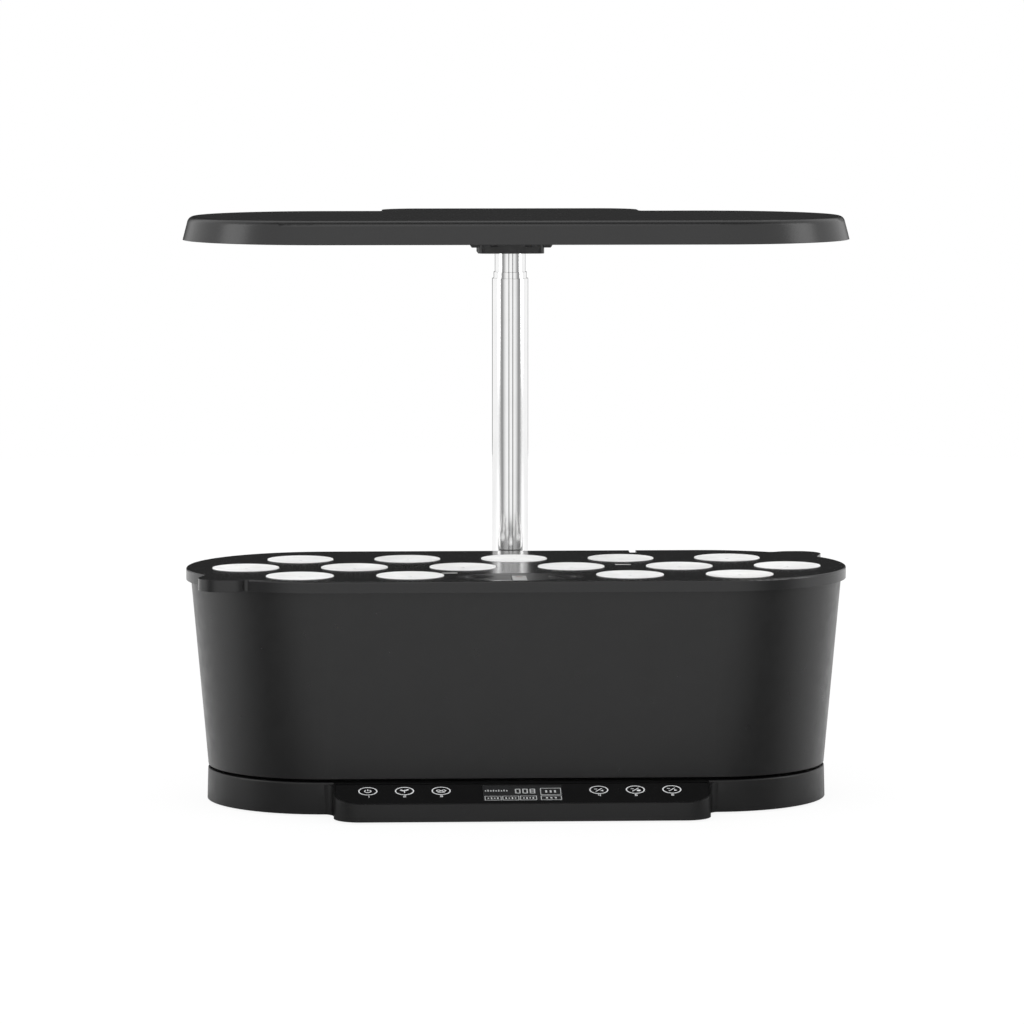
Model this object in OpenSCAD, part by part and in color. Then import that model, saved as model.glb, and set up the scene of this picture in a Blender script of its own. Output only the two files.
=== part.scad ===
// Countertop hydroponic garden: tank, deck with fifteen pods, base with control panel,
// telescopic mast and LED lamp. Millimetres, +Z up, +X to the right, -Y to the user.
// Origin: on the table, under the centre of the tank.

/* [Body outline] */
// Distance between the centres of the two round ends, shared by base, tank, deck and lamp
end_spacing = 250; // [236:1:300]
// How far the base stands out beyond the tank's foot
base_step = 0.8; // [0:0.1:2]
// How far the base's sides lean in over its height
base_draft = 0.6; // [0.2:0.1:1.5]
// Height of the base casing
base_h = 20.7; // [19:0.1:26]
// Wall of the base casing
base_wall = 2.4; // [1.8:0.1:3]
// How far the rubber feet stand below the casing
foot_proud = 1; // [0.5:0.1:2]
// Diameter of a rubber foot
foot_d = 16; // [10:0.5:20]

/* [Tank] */
// How far the tank's sides lean in towards the bottom
tank_draft = 11.1; // [10:0.1:14]
// Radius of the tank's round ends at the top
tank_top_r = 88.2; // [84:0.1:90]
// Height of the tank
tank_h = 126.3; // [110:0.1:150]
// Wall of the tank
tank_wall = 2.4; // [1.8:0.1:3]
// Shadow gap between base and tank
seat_gap = 1.9; // [1:0.1:3]

/* [Deck] */
// Gap between the tank and the deck's rim
rim_slip = 0.5; // [0.3:0.1:1]
// Thickness of the deck's plate
deck_t = 2.6; // [2.2:0.1:3.5]
// Full height of the deck's rim
rim_h = 7.6; // [6:0.1:10]
// Wall of the deck's rim
rim_wall = 2.2; // [1.8:0.1:2.8]
// How far a finger tab stays inside the deck's widest point
tab_side = 9.4; // [6:0.1:12]
// How far a finger tab stays inside the deck's foremost line
tab_front = 10.4; // [8:0.1:12]
// Width of a finger tab along its face
tab_w = 34; // [30:0.5:38]
// Radius of a finger tab's round ends
tab_round = 14.5; // [12:0.1:15]

/* [Pods] */
// Diameter of a pod's lid
lid_d = 43.5; // [40:0.1:45]
// Gap round a lid
lid_gap = 0.4; // [0.3:0.05:0.6]
// How far a lid's edge stands above the deck
lid_proud = 0.4; // [0.2:0.1:1]
// Depth of the dish in a lid
lid_dish = 0.9; // [0.4:0.1:1]
// Pitch of the pods along a row
pod_pitch = 70.75; // [68:0.05:74]
// Distance from the front row's centres to the deck's front edge
front_in = 33.9; // [32:0.1:37]
// Distance from the back row's centres to the deck's back edge
back_in = 49.9; // [47:0.1:53]
// Length of a pod's basket
basket_h = 52; // [40:1:60]

/* [Fill port] */
// Length of the oval port
port_w = 81; // [78:0.5:84]
// Depth of the oval port
port_d = 43.6; // [40:0.1:44]
// Margin of the deck in front of the port
port_margin = 2.5; // [2:0.1:5]
// Radius of the oval's small ends
port_end_r = 14; // [12:0.5:16]
// Thickness of the fill cover
cover_t = 1.6; // [1.4:0.1:1.9]
// Width of the white level plate
level_plate_w = 9.2; // [7:0.1:11]
// Length of the white level plate
level_plate_l = 24.5; // [20:0.5:26]
// How far the level plate and the float lie to the left of the middle
float_left = 1.2; // [0:0.1:3]
// Diameter of the float's pin, whose end shows in the level plate
float_pin_d = 4.4; // [3:0.1:5]
// Fall of the float from full to empty
float_fall = 55; // [30:1:60]

/* [Stake slots] */
// Length of a stake slot
slot_l = 10.5; // [8:0.1:12]
// Width of a stake slot
slot_w = 2.6; // [2:0.1:3.4]

/* [Control panel] */
// Width of the panel bulge
panel_w = 241; // [236:1:246]
// Height of the panel's front face
panel_front_h = 11.6; // [10:0.1:13]
// Slope of the panel, degrees
panel_slope = 15.2; // [13:0.1:17]
// Corner radius of the panel bulge
panel_corner_r = 17; // [14:0.5:20]
// Rim of the casing round the overlay
panel_rim = 1; // [0.8:0.1:1.6]
// Thickness of the glossy overlay
lens_t = 1.4; // [1:0.1:1.8]
// Width of the display window
lcd_w = 51.5; // [40:0.1:58]
// Depth of the display window, along the slope
lcd_d = 23.6; // [18:0.1:30]
// Margin of the overlay behind the display
lcd_back = 3.4; // [2:0.1:8]
// Margin of the overlay in front of the display
lcd_front = 4.4; // [2:0.1:8]
// Diameter of a touch key's ring
key_d = 12.2; // [10:0.1:14]
// Pitch of the keys
key_pitch = 23.4; // [20:0.1:26]
// Centre of each group of three keys, from the middle
key_group_x = 73.8; // [66:0.1:78]
// How far the keys lie to the left of where the middle would put them
key_shift = 1.5; // [0:0.1:3]
// Margin of the overlay behind the keys
key_back = 5.1; // [3:0.1:8]

/* [Mast] */
// Gap between the deck and the mast
mast_gap = 1.95; // [1.5:0.05:5]
// Radius of the fixed tube
outer_r = 12.15; // [12:0.05:13]
// Radius of the first sliding tube
middle_r = 11.1; // [11:0.05:11.2]
// Radius of the second sliding tube
inner_r = 10.3; // [10.2:0.05:10.35]
// Running clearance between the tubes, radial
tube_fit = 0.08; // [0.05:0.01:0.1]
// Wall of the two sliding tubes
tube_wall = 0.7; // [0.65:0.01:0.7]
// Travel of each sliding tube
mast_travel = 150; // [100:5:180]
// Length of tube that always stays inside the next one
tube_overlap = 50; // [40:1:60]
// Length of the first sliding tube that shows when it is down
middle_show = 4.3; // [2:0.1:8]
// Length of the second sliding tube that shows when it is down
inner_show = 13; // [6:0.1:20]
// Width of the key groove down the front of the tubes
groove_w = 2.6; // [2:0.1:3]
// Depth of the key groove
groove_t = 0.5; // [0.4:0.01:0.52]

/* [Lamp] */
// Gap between deck and lamp with the mast down
lamp_gap = 213.6; // [190:0.1:260]
// Gap between the light window's ledge and the bracket's screws
light_gap = 5.5; // [5:0.1:9]
// How far the lamp's lower edge stands out beyond its light window
lamp_margin = 13.8; // [13.5:0.1:18]
// Height of the lamp
lamp_h = 15.2; // [14:0.1:18]
// How far the lamp's sides lean in over its height
lamp_draft = 4; // [2:0.1:5]
// Radius of the lamp's top edge
lamp_edge = 4.5; // [2:0.1:5]
// Wall of the lamp's housing
lamp_wall = 2; // [1.6:0.1:2.4]
// Half width of the lamp's rear bulge
bulge_x = 86; // [80:0.5:92]
// How far the lamp's rear bulge reaches behind the mast's axis
bulge_back = 36; // [30:0.5:42]
// How much lower the rear bulge is than the rest of the lamp
bulge_step = 0.4; // [0:0.1:2]
// Number of LEDs along the lamp
led_columns = 18; // [8:1:22]
// Number of LEDs across the lamp
led_rows = 6; // [3:1:6]
// How far the lamp's bracket block hangs below the lamp
block_drop = 13.4; // [12:0.1:20]
// Width of the bracket block
block_w = 44.2; // [40:0.1:50]
// How far the bracket's flange hangs below the lamp
flange_drop = 9.5; // [8:0.1:11.5]
// Width of the bracket's flange
flange_w = 55.6; // [50:0.1:62]

/* [Pump] */
// Place of the pump along the tank
pump_x = 70; // [60:1:78]
// Place of the pump across the tank
pump_y = 24; // [16:1:30]
// Length of the pump's housing
pump_l = 44; // [40:1:50]
// Width of the pump's housing
pump_w = 38; // [34:1:42]
// Height of the pump's housing
pump_h = 30; // [28:1:34]
// Radius of the impeller
impeller_r = 10.5; // [9:0.1:11]

/* [Hidden] */
$fn = 96;
eps = 0.01;
slip = 0.3;
fit_gap = 0.15;
loose = 0.05;
bite = 0.3;
edge_top = 1.2;
side = [-1, 1];

plinth_in = 14;

// heights
base_top = foot_proud + base_h;
tank_z = base_top + seat_gap;
tank_top = tank_z + tank_h;
deck_top = tank_top + deck_t;
rim_z = deck_top - rim_h;
lamp_z = deck_top + lamp_gap;
lamp_top = lamp_z + lamp_h;

// the base goes under the tank, the deck's rim goes round it, and the mast stands behind
tank_low_r = tank_top_r - tank_draft;
base_r = tank_low_r + base_step;
deck_r = tank_top_r + rim_slip + rim_wall;
mast_y = deck_r + mast_gap + outer_r;

// base
cavity_top = base_top - base_wall;
blend_r = 9;
blend_h = base_h - edge_top - bite;
plate_t = 2.4;
plate_slip = 0.25;
foot_t = 2.2;
lip_z = foot_proud + panel_front_h;
pad_r = 26;
pad_blend = 12;
screw_r = 1.4;
screw_head_r = 3;
screw_head_h = 1.4;
boss_r = 3.8;
jack_z = 11.5;
jack_x = 60;
jack_rim = 1.4;
pump_jack_x = 82;
rail_h = 1.1;
rail_w = 4;
rail_x = 96;
rail_l = 104;
main_x = -88;
main_y = 8;
main_w = 146;
main_d = 44;
main_rise = 4;
main_hole_in = 6;
end_x = end_spacing / 2;
foot_y = base_r - 32;
screw_in = 20;

// mast
socket_z = foot_proud + plate_t;
socket_r = outer_r + 3.6;
socket_flange_r = outer_r + 10.4;
socket_flange_t = 3;
socket_rise = 14;
block_z = lamp_z - block_drop;
outer_top = block_z - inner_show - middle_show;
middle_top = outer_top + middle_show;
outer_bore = middle_r + tube_fit;
middle_bore = middle_r - tube_wall;
inner_bore = inner_r - tube_wall;
outer_z = socket_z;
middle_z = outer_top - mast_travel - tube_overlap;
guide_l = 8;
guide_t = 2;
inner_z = middle_z + guide_l + guide_t + 4;
inner_top = lamp_z + 7;
key_slip = 0.1;
mast_screw_r = 1.4;
mast_screw_pcd = outer_r + 6.8;

// lamp, whose light window ends in front of the bracket's screws
bracket_screw_x = 16.5;
bracket_screw_y = 16.5;
diffuser_lap = 2;
light_r = mast_y - bracket_screw_y - screw_head_r - light_gap - diffuser_lap;
lamp_r = light_r + lamp_margin;
lamp_high_r = lamp_r - lamp_draft;
lamp_slip = 0.2;
bulge_reach = mast_y + bulge_back;
bulge_corner = 24;
bulge_blend = 14;
cover_plate_t = 2;
diffuser_t = 1.6;
standoff_h = 2;
led_size = 3.4;
led_t = 0.9;
board_t = 1.6;
board_r = light_r + 1.5;
board_z = lamp_z + 6.4;
board_posts = [-end_x - 25, -50, 50, end_x + 25];
driver_w = 36;
driver_d = 30;
driver_hole_in = 4;
led_pitch_x = (end_spacing + 2 * light_r - 36) / (led_columns - 1);
led_pitch_y = (2 * light_r - 36) / (led_rows - 1);
lamp_boss_r = 2.9;
lamp_ring_r = light_r + diffuser_lap + 0.2 + lamp_boss_r;
lamp_screws_at = concat(
    [for (s = side, a = [-40, 40]) [s * (end_spacing / 2 + lamp_ring_r * cos(a)), lamp_ring_r * sin(a)]],
    [[0, -lamp_ring_r]], [for (s = side) [s * (bulge_x - bulge_corner + 8), bulge_reach - bulge_corner / 2]]);
block_d = 44.6;
flange_chamfer = [1.4, 2];
relief_x = 11.4;
relief_w = 4.8;
relief_rise = 4.8;
block_corner = 5;

// deck
lid_r = lid_d / 2;
recess_r = lid_r + lid_gap;
lid_t = 1.5;
ledge_t = 1.2;
hole_r = lid_r - 2.6;
collar_t = 1.8;
rib_r = tank_top_r - tank_wall - 1;
rib_wall = 1.6;
collar_h = 4;
notch_x = 81.5;
notch_w = 4.7;
notch_y = deck_r - 14.9;
tab_fillet = 2.5;
tab_slant = 14;
row_pitch = deck_r - (front_in + back_in) / 2;
row_shift = (back_in - front_in) / 2;
rows = [[1, [-2, -1, 0, 1, 2]], [0, [-2.5, -1.5, -0.5, 0.5, 1.5, 2.5]], [-1, [-2, -1, 1, 2]]];
pods_at = [for (row = rows) for (k = row[1]) [k * pod_pitch, row[0] * row_pitch - row_shift]];
basket_flange_t = 1;
stake_back = [pod_pitch - 0.85, row_pitch / 2 - row_shift - 14.3];
lid_hole_r = 1.4;
lid_land = 1.2;
lid_ring_wall = 1.4;
seat_z = deck_top + lid_proud - lid_t - loose - basket_flange_t;
basket_wall = 1.1;
basket_low_r = 14;
basket_high_r = hole_r - 0.6;
basket_floor = 1.4;
basket_flange_in = 0.4;
window_w = 8;
window_low = 8;
window_high = 14;
floor_hole_r = 5;
lid_ring_h = 1.6;
sponge_gap = 0.3;
sponge_flare = 2;
sponge_h = basket_h - 10;

// fill port
port_y = port_d / 2 + port_margin - deck_r;
stake_front = [port_w / 2 + 4.6, port_y + 23];
plain_slots = [[-stake_back[0], stake_back[1]], stake_front];
lined_slots = [stake_back, [-stake_front[0], stake_front[1]]];
liner_t = 0.8;
cover_slip = 0.3;
port_ledge = 4;
port_wall = 1.8;
port_depth = 9;
scoop_r = 9.2;
scoop_depth = 4.4;
scoop_wall = 1.3;
scoop_ball = (scoop_r * scoop_r + scoop_depth * scoop_depth) / (2 * scoop_depth);
scoop_x = port_w / 2 - port_end_r;
plate_front = port_y - port_d / 2 + cover_slip + 0.8;
plate_seat = 1;
plate_proud = 0.2;
float_x = -float_left;
float_y = plate_front + level_plate_l - 5;
float_w = 30;
float_d = 15;
float_h = 13;
float_pin_l = 26;
float_top = deck_top + plate_proud - float_pin_l;
guide_slip = 0.6;
guide_wall = 1.6;
guide_d = 10;

// control panel
panel_y1 = -base_r - 1.5;
lens_slip = 0.15;
lcd_y = panel_y1 - lcd_back - lcd_d * cos(panel_slope) / 2;
panel_reach = lcd_d * cos(panel_slope) / 2 + lcd_front + panel_rim - lcd_y;
key_y = panel_y1 - key_back - key_d / 2;
key_x = [for (s = side) for (k = [-1, 0, 1]) s * key_group_x + k * key_pitch - key_shift];
key_board_t = 1.2;
key_board_margin = 4.9;
bezel = 1.6;

// where the base's feet and screws are
feet_at = concat([[0, 0], [0, mast_y + 7]],
    [for (x = side, y = side) [x * (end_x + 25), y * foot_y]],
    [for (s = side) [s * (panel_w / 2 - 24.5), 15 - panel_reach]]);
base_screws_at = concat(
    [for (s = side) [s * (end_x + base_r - screw_in), 0]],
    [for (x = side, y = side) [x * (end_x - 15), y * (base_r - screw_in)]],
    [for (s = side) [s * (lcd_w / 2 + bezel + boss_r + 0.6), lcd_y - 4]]);

// pump
cup_h = 3.6;
pump_z = tank_z + tank_wall + cup_h;
chamber_r = impeller_r + 1;
pin_r = 1.2;
pin_fit = 0.05;
rotor_r = 6.4;
rotor_l = 16;
blade_l = 6;
spin_z = pump_z + pump_h / 2;
face_x = pump_x - pump_l / 2;
chamber_l = blade_l + 1.2;

// ---- shapes that several pieces share ----

// flat outline with two round ends
module stadium(r) {
    square([end_spacing, 2 * r], center = true);
    for (s = side) translate([s * end_spacing / 2, 0]) circle(r);
}

// a half section, from the long axis outwards, carried all round the stadium
module carried_round() {
    for (m = [0, 1]) mirror([m, 0, 0])
        translate([end_spacing / 2, 0, 0]) rotate([0, 0, -90]) rotate_extrude(angle = 180) children();
    rotate([90, 0, 90]) linear_extrude(end_spacing, center = true) {
        children();
        mirror([1, 0]) children();
    }
}

// half section of a casing: sides that lean from r_low to r_high, and a round upper edge
module drafted_section(r_low, r_high, h, edge) {
    lean = atan2(r_low - r_high, h);
    cx = r_low - (edge + (h - edge) * sin(lean)) / cos(lean);
    polygon([[0, 0], [r_low, 0], [cx + edge * cos(lean), h - edge + edge * sin(lean)], [cx, h], [0, h]]);
    translate([cx, h - edge]) circle(edge);
}

// block with round front corners that reaches from the long axis to -reach
module front_block(half_w, reach, corner) {
    translate([-half_w, -reach + corner]) square([2 * half_w, reach - corner]);
    translate([corner - half_w, -reach]) square([2 * (half_w - corner), corner + 1]);
    for (s = side) translate([s * (half_w - corner), corner - reach]) circle(corner);
}

// hollow fillets where such a block leaves the stadium of radius face
module front_blends(half_w, face, r) {
    over = max(0, half_w + r - end_spacing / 2);
    cy = sqrt(pow(face + r, 2) - pow(over, 2));
    share = (r + 3) / (face + r);
    for (m = [0, 1]) mirror([m, 0]) difference() {
        polygon([[half_w - 1, -cy], [half_w + r, -cy], [half_w + r - over * share, cy * share - cy],
                 [half_w - 1, cy * share - cy]]);
        translate([half_w + r, -cy]) circle(r);
    }
}

module slot_2d(l, w) {
    square([l - w, w], center = true);
    for (s = side) translate([s * (l - w) / 2, 0]) circle(w / 2);
}

// ---- base ----

module panel_outline(inset) {
    front_block(panel_w / 2 - inset, panel_reach - inset, panel_corner_r - inset);
}

// everything below the panel's slope, lowered by drop
module under_slope(drop) {
    translate([0, 1 - panel_reach, lip_z]) rotate([panel_slope, 0, 0])
        translate([-250, -60, -120 - drop]) cube([500, 400, 120]);
}

// a slab that lies along the panel's slope, from drop to drop + t below it
module slope_slab(drop, t) {
    translate([0, 1 - panel_reach, lip_z]) rotate([panel_slope, 0, 0])
        translate([-250, -60, -drop - t]) cube([500, 400, t]);
}

// the mast pad behind the base, made from the panel's shapes turned round
module pad_outline(inset) {
    mirror([0, 1]) front_block(pad_r - inset, mast_y + pad_r - inset, pad_r - inset - eps);
}

module base_outside() {
    carried_round() drafted_section(base_r, base_r - base_draft, base_h, edge_top);
    linear_extrude(base_h) pad_outline(0);
    linear_extrude(blend_h) mirror([0, 1]) front_blends(pad_r, base_r - base_draft - bite, pad_blend);
    intersection() {
        union() {
            linear_extrude(base_h) panel_outline(0);
            linear_extrude(blend_h) front_blends(panel_w / 2, base_r - base_draft - bite, blend_r);
        }
        translate([0, 0, -foot_proud]) under_slope(0);
    }
}

module base_inside() {
    room = cavity_top - foot_proud;
    translate([0, 0, -1]) linear_extrude(room + 1) {
        stadium(base_r - base_draft - base_wall);
        pad_outline(base_wall);
    }
    intersection() {
        translate([0, 0, -1]) linear_extrude(room + 1) panel_outline(base_wall);
        translate([0, 0, -foot_proud]) under_slope(lens_t + base_wall);
    }
}

module base_shell() color([0.05, 0.05, 0.055]) {
    difference() {
        translate([0, 0, foot_proud]) difference() {
            base_outside();
            base_inside();
        }
        // seat of the overlay
        intersection() {
            translate([0, 0, foot_proud]) linear_extrude(base_h + 1) difference() {
                panel_outline(panel_rim);
                translate([-250, panel_y1]) square([500, 200]);
            }
            slope_slab(-10, lens_t + 10);
        }
        // window for the display
        on_slope(0, lcd_y) cube([lcd_w + 2 * bezel + 2 * slip, lcd_d + 2 * bezel + 2 * slip, 20], center = true);
        // rear sockets and mast
        rear_bore(-jack_x, 4.6);
        rear_bore(pump_jack_x, 3.6);
        translate([0, mast_y, 0]) cylinder(h = base_top + 1, r = socket_r);
        mast_screw_places() cylinder(h = base_top + 1, r = mast_screw_r);
    }
    // screw posts, which stop on the bottom cover
    for (p = base_screws_at) translate([p[0], p[1], foot_proud + plate_t])
        intersection() {
            difference() {
                cylinder(h = cavity_top - foot_proud - plate_t + 1, r = boss_r);
                translate([0, 0, -eps]) cylinder(h = 9, r = screw_r);
            }
            translate([-p[0], -p[1], -foot_proud - plate_t]) under_slope(lens_t + base_wall / 2);
        }
    // rails that the tank slides on from the front, and the ledge that stops it
    for (s = side) translate([s * rail_x - rail_w / 2, -rail_l / 2, base_top - eps])
        cube([rail_w, rail_l, rail_h]);
}

// puts a child on the panel's surface at x, y, lying along the slope
module on_slope(x, y) {
    translate([x, y, lip_z + (y + panel_reach - 1) * tan(panel_slope)]) rotate([panel_slope, 0, 0]) children();
}

module rear_bore(x, r) {
    translate([x, base_r - base_draft - 8, jack_z]) rotate([-90, 0, 0]) cylinder(h = 20, r = r);
    translate([x, base_r - base_draft, jack_z]) rotate([-90, 0, 0]) cylinder(h = 12, r = r + jack_rim);
}

module mast_screw_places() {
    for (a = [90, 210, 330]) translate([mast_screw_pcd * cos(a), mast_y + mast_screw_pcd * sin(a), 0]) children();
}

module base_plate() color([0.07, 0.07, 0.075]) difference() {
    translate([0, 0, foot_proud]) linear_extrude(plate_t) {
        stadium(base_r - base_draft - base_wall - plate_slip);
        panel_outline(base_wall + plate_slip);
        pad_outline(base_wall + plate_slip);
    }
    for (p = feet_at) translate([p[0], p[1], -1]) cylinder(h = foot_t + 1, d = foot_d);
    for (p = base_screws_at) translate([p[0], p[1], 0]) {
        cylinder(h = 10, r = screw_r + 0.2);
        translate([0, 0, -1]) cylinder(h = foot_proud + screw_head_h + 1, r = screw_head_r + 0.3);
    }
}

module feet() color([0.03, 0.03, 0.03])
    for (p = feet_at) translate([p[0], p[1], 0]) rotate_extrude() {
        square([foot_d / 2 - 1, foot_t]);
        translate([0, 0.6]) square([foot_d / 2, foot_t - 0.6]);
    }

module base_screws() color([0.6, 0.6, 0.62])
    for (p = base_screws_at) translate([p[0], p[1], foot_proud]) {
        difference() {
            cylinder(h = screw_head_h, r = screw_head_r);
            for (a = [0, 90]) rotate([0, 0, a]) cube([3.2, 0.8, 1.2], center = true);
        }
        cylinder(h = 9, r = screw_r);
    }

module panel_lens() color([0.02, 0.02, 0.022]) difference() {
    intersection() {
        translate([0, 0, foot_proud]) linear_extrude(base_h + 1) difference() {
            panel_outline(panel_rim + lens_slip);
            translate([-250, panel_y1 - lens_slip]) square([500, 200]);
        }
        slope_slab(0, lens_t);
    }
    on_slope(0, lcd_y) cube([lcd_w, lcd_d, 10], center = true);
}

module lcd_module() color([0.13, 0.14, 0.14]) {
    on_slope(0, lcd_y) translate([0, 0, -lens_t - 1]) {
        translate([0, 0, 1.2]) cube([lcd_w - 2 * slip, lcd_d - 2 * slip, 2.2], center = true);
        translate([0, 0, -0.22]) cube([lcd_w + 2 * bezel, lcd_d + 2 * bezel, 2.4], center = true);
    }
}

module key_board() color([0.1, 0.3, 0.16]) {
    drop = lens_t + base_wall + 1.2;
    intersection() {
        for (s = side) translate([s * key_group_x - key_shift, key_y, base_top / 2])
            cube([2 * key_pitch + key_d + 2 * key_board_margin, key_d + 2 * key_board_margin, base_top], center = true);
        slope_slab(drop, key_board_t);
    }
    for (x = key_x) on_slope(x, key_y) translate([0, 0, -drop - 0.5]) cylinder(h = 1.7 - eps, d = key_d - 2);
}

module main_board() color([0.08, 0.26, 0.14]) translate([0, 0, foot_proud + plate_t]) {
    holes_x = [main_x + main_hole_in, main_x + main_w - main_hole_in];
    holes_y = [main_y + main_hole_in, main_y + main_d - main_hole_in];
    top = main_rise + board_t;
    difference() {
        translate([main_x, main_y, main_rise]) cube([main_w, main_d, board_t]);
        for (x = holes_x, y = holes_y) translate([x, y, main_rise - 1]) cylinder(h = board_t + 2, r = 1.3);
    }
    for (x = holes_x, y = holes_y) translate([x, y, 0]) difference() {
        cylinder(h = main_rise, r = 2.6);
        translate([0, 0, -eps]) cylinder(h = main_rise + 1, r = 1.3);
    }
    translate([main_x + 28, main_y + 6, top - bite / 3]) cube([14, 10, 6]);
    translate([main_x + 68, main_y + 14, top - bite / 3]) cube([10, 10, 1.6]);
    translate([main_x + 102, main_y + 16, top - bite / 3]) cube([16, 12, 7]);
    translate([main_x + 128, main_y + 16, top - bite / 3]) cylinder(h = 8, r = 4);
}

// a round socket whose mouth is in the base's rear wall
module rear_socket(x, bore, body_r, pin) {
    mouth = base_r - base_draft;
    translate([x, mouth, jack_z]) rotate([90, 0, 0]) {
        difference() {
            union() {
                translate([0, 0, -0.6]) cylinder(h = 0.6, r = body_r + jack_rim);
                cylinder(h = 12, r = body_r);
            }
            translate([0, 0, -1]) cylinder(h = 10.5, r = bore);
        }
        translate([0, 0, 1.2]) cylinder(h = 9, r = pin);
    }
}

module dc_inlet() color([0.04, 0.04, 0.04]) rear_socket(-jack_x, 2.85, 4.6, 1.05);

module pump_socket() color([0.5, 0.5, 0.5]) rear_socket(pump_jack_x, 1.9, 3.6, 0.6);

// ---- mast ----

module mast_socket() color([0.06, 0.06, 0.065]) translate([0, mast_y, 0]) difference() {
    union() {
        translate([0, 0, socket_z]) cylinder(h = base_top - socket_z + 1, r = socket_r);
        translate([0, 0, base_top]) cylinder(h = socket_flange_t, r = socket_flange_r);
        translate([0, 0, base_top]) cylinder(h = socket_rise, r = socket_r);
    }
    translate([0, 0, socket_z - 1]) cylinder(h = base_top + socket_rise + 1, r = outer_r);
    translate([0, -mast_y, 0]) mast_screw_places() {
        cylinder(h = 60, r = mast_screw_r);
        translate([0, 0, base_top + 1.4]) cylinder(h = 9, r = mast_screw_r + 1.4);
    }
}

module mast_screws() color([0.6, 0.6, 0.62]) mast_screw_places() {
    translate([0, 0, base_top - 6]) cylinder(h = 7.5, r = mast_screw_r);
    difference() {
        translate([0, 0, base_top + 1.4]) cylinder(h = 1.6, r = mast_screw_r + 1.3);
        for (a = [0, 90]) rotate([0, 0, a]) translate([0, 0, base_top + 3]) cube([3, 0.7, 1.2], center = true);
    }
}

// tube with the key groove down its front; rib is the height of the key inside its bore
module keyed_tube(z0, z1, r, bore, rib) translate([0, mast_y, z0]) {
    difference() {
        cylinder(h = z1 - z0, r = r);
        translate([0, 0, -1]) cylinder(h = z1 - z0 + 2, r = bore);
        translate([-groove_w / 2, -r - 1, -1]) cube([groove_w, 1 + groove_t, z1 - z0 + 2]);
    }
    if (rib > 0) intersection() {
        translate([-groove_w / 2 + key_slip, -bore - 0.3, 0]) cube([groove_w - 2 * key_slip, 0.3 + rib, z1 - z0]);
        cylinder(h = z1 - z0, r = (r + bore) / 2);
    }
}

module outer_tube() color([0.82, 0.82, 0.83])
    keyed_tube(outer_z, outer_top, outer_r, outer_bore, tube_fit + groove_t - key_slip);

module middle_tube() color([0.82, 0.82, 0.83])
    keyed_tube(middle_z, middle_top, middle_r, middle_bore, middle_bore - inner_r + groove_t - key_slip);

module inner_tube() color([0.82, 0.82, 0.83]) keyed_tube(inner_z, inner_top, inner_r, inner_bore, 0);

// plug in the foot of a sliding tube, with a collar that guides it in the tube outside
module foot_guide(z, collar_r, plug_r, key_r, plug_key_r) translate([0, mast_y, z]) difference() {
    union() {
        translate([0, 0, -guide_t]) cylinder(h = guide_t, r = collar_r);
        cylinder(h = guide_l, r = plug_r);
    }
    translate([0, 0, -guide_t - 1]) cylinder(h = guide_l + guide_t + 2, r = 6);
    translate([-groove_w / 2, -key_r - 2, -guide_t - 1]) cube([groove_w, 2, guide_t + 1]);
    translate([-groove_w / 2, -plug_key_r - 2, 0]) cube([groove_w, 2, guide_l + 1]);
}

module middle_guide() color([0.9, 0.9, 0.88])
    foot_guide(middle_z, outer_bore - tube_fit / 2, middle_bore, middle_r - groove_t, inner_r - groove_t);

module inner_guide() color([0.9, 0.9, 0.88])
    foot_guide(inner_z, middle_bore - tube_fit / 2, inner_bore, inner_r - groove_t, inner_r - groove_t);

// ---- lamp ----

module bulge_outline(inset) {
    mirror([0, 1]) {
        front_block(bulge_x - inset, bulge_reach - inset, bulge_corner - inset);
        front_blends(bulge_x - inset, lamp_high_r - bite - inset, bulge_blend + inset);
    }
}

module lamp_housing() color([0.07, 0.07, 0.075]) {
    difference() {
        union() {
            translate([0, 0, lamp_z]) carried_round() drafted_section(lamp_r, lamp_high_r, lamp_h, lamp_edge);
            translate([0, 0, lamp_z]) linear_extrude(lamp_h - bulge_step) bulge_outline(0);
        }
        translate([0, 0, lamp_z - 1]) linear_extrude(lamp_h - lamp_wall + 1) {
            stadium(lamp_high_r - lamp_wall);
            bulge_outline(lamp_wall);
        }
        // recess of the lower cover
        translate([0, 0, lamp_z - 1]) linear_extrude(cover_plate_t + 1) {
            stadium(lamp_r - lamp_wall);
            bulge_outline(lamp_wall);
        }
    }
    for (p = lamp_screws_at) translate([p[0], p[1], lamp_z + cover_plate_t]) difference() {
        cylinder(h = lamp_h - cover_plate_t - 1, r = lamp_boss_r);
        translate([0, 0, -eps]) cylinder(h = 7, r = screw_r);
    }
    for (x = board_posts) translate([x, 0, board_z + board_t])
        cylinder(h = lamp_top - board_z - board_t - 1, r = 4);
}

module lamp_cover() color([0.09, 0.09, 0.095]) difference() {
    translate([0, 0, lamp_z]) linear_extrude(cover_plate_t) {
        stadium(lamp_r - lamp_wall - lamp_slip);
        bulge_outline(lamp_wall + lamp_slip);
    }
    translate([0, 0, lamp_z - 1]) linear_extrude(cover_plate_t + 2) stadium(light_r);
    translate([0, mast_y, lamp_z - 1]) cylinder(h = cover_plate_t + 2, r = inner_r + slip);
    bracket_screw_places() cylinder(h = 400, r = screw_r + 0.2);
    for (p = lamp_screws_at) translate([p[0], p[1], lamp_z - 1]) {
        cylinder(h = 10, r = screw_r + 0.2);
        cylinder(h = 1 + screw_head_h - 0.4, r = screw_head_r + slip);
    }
}

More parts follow.
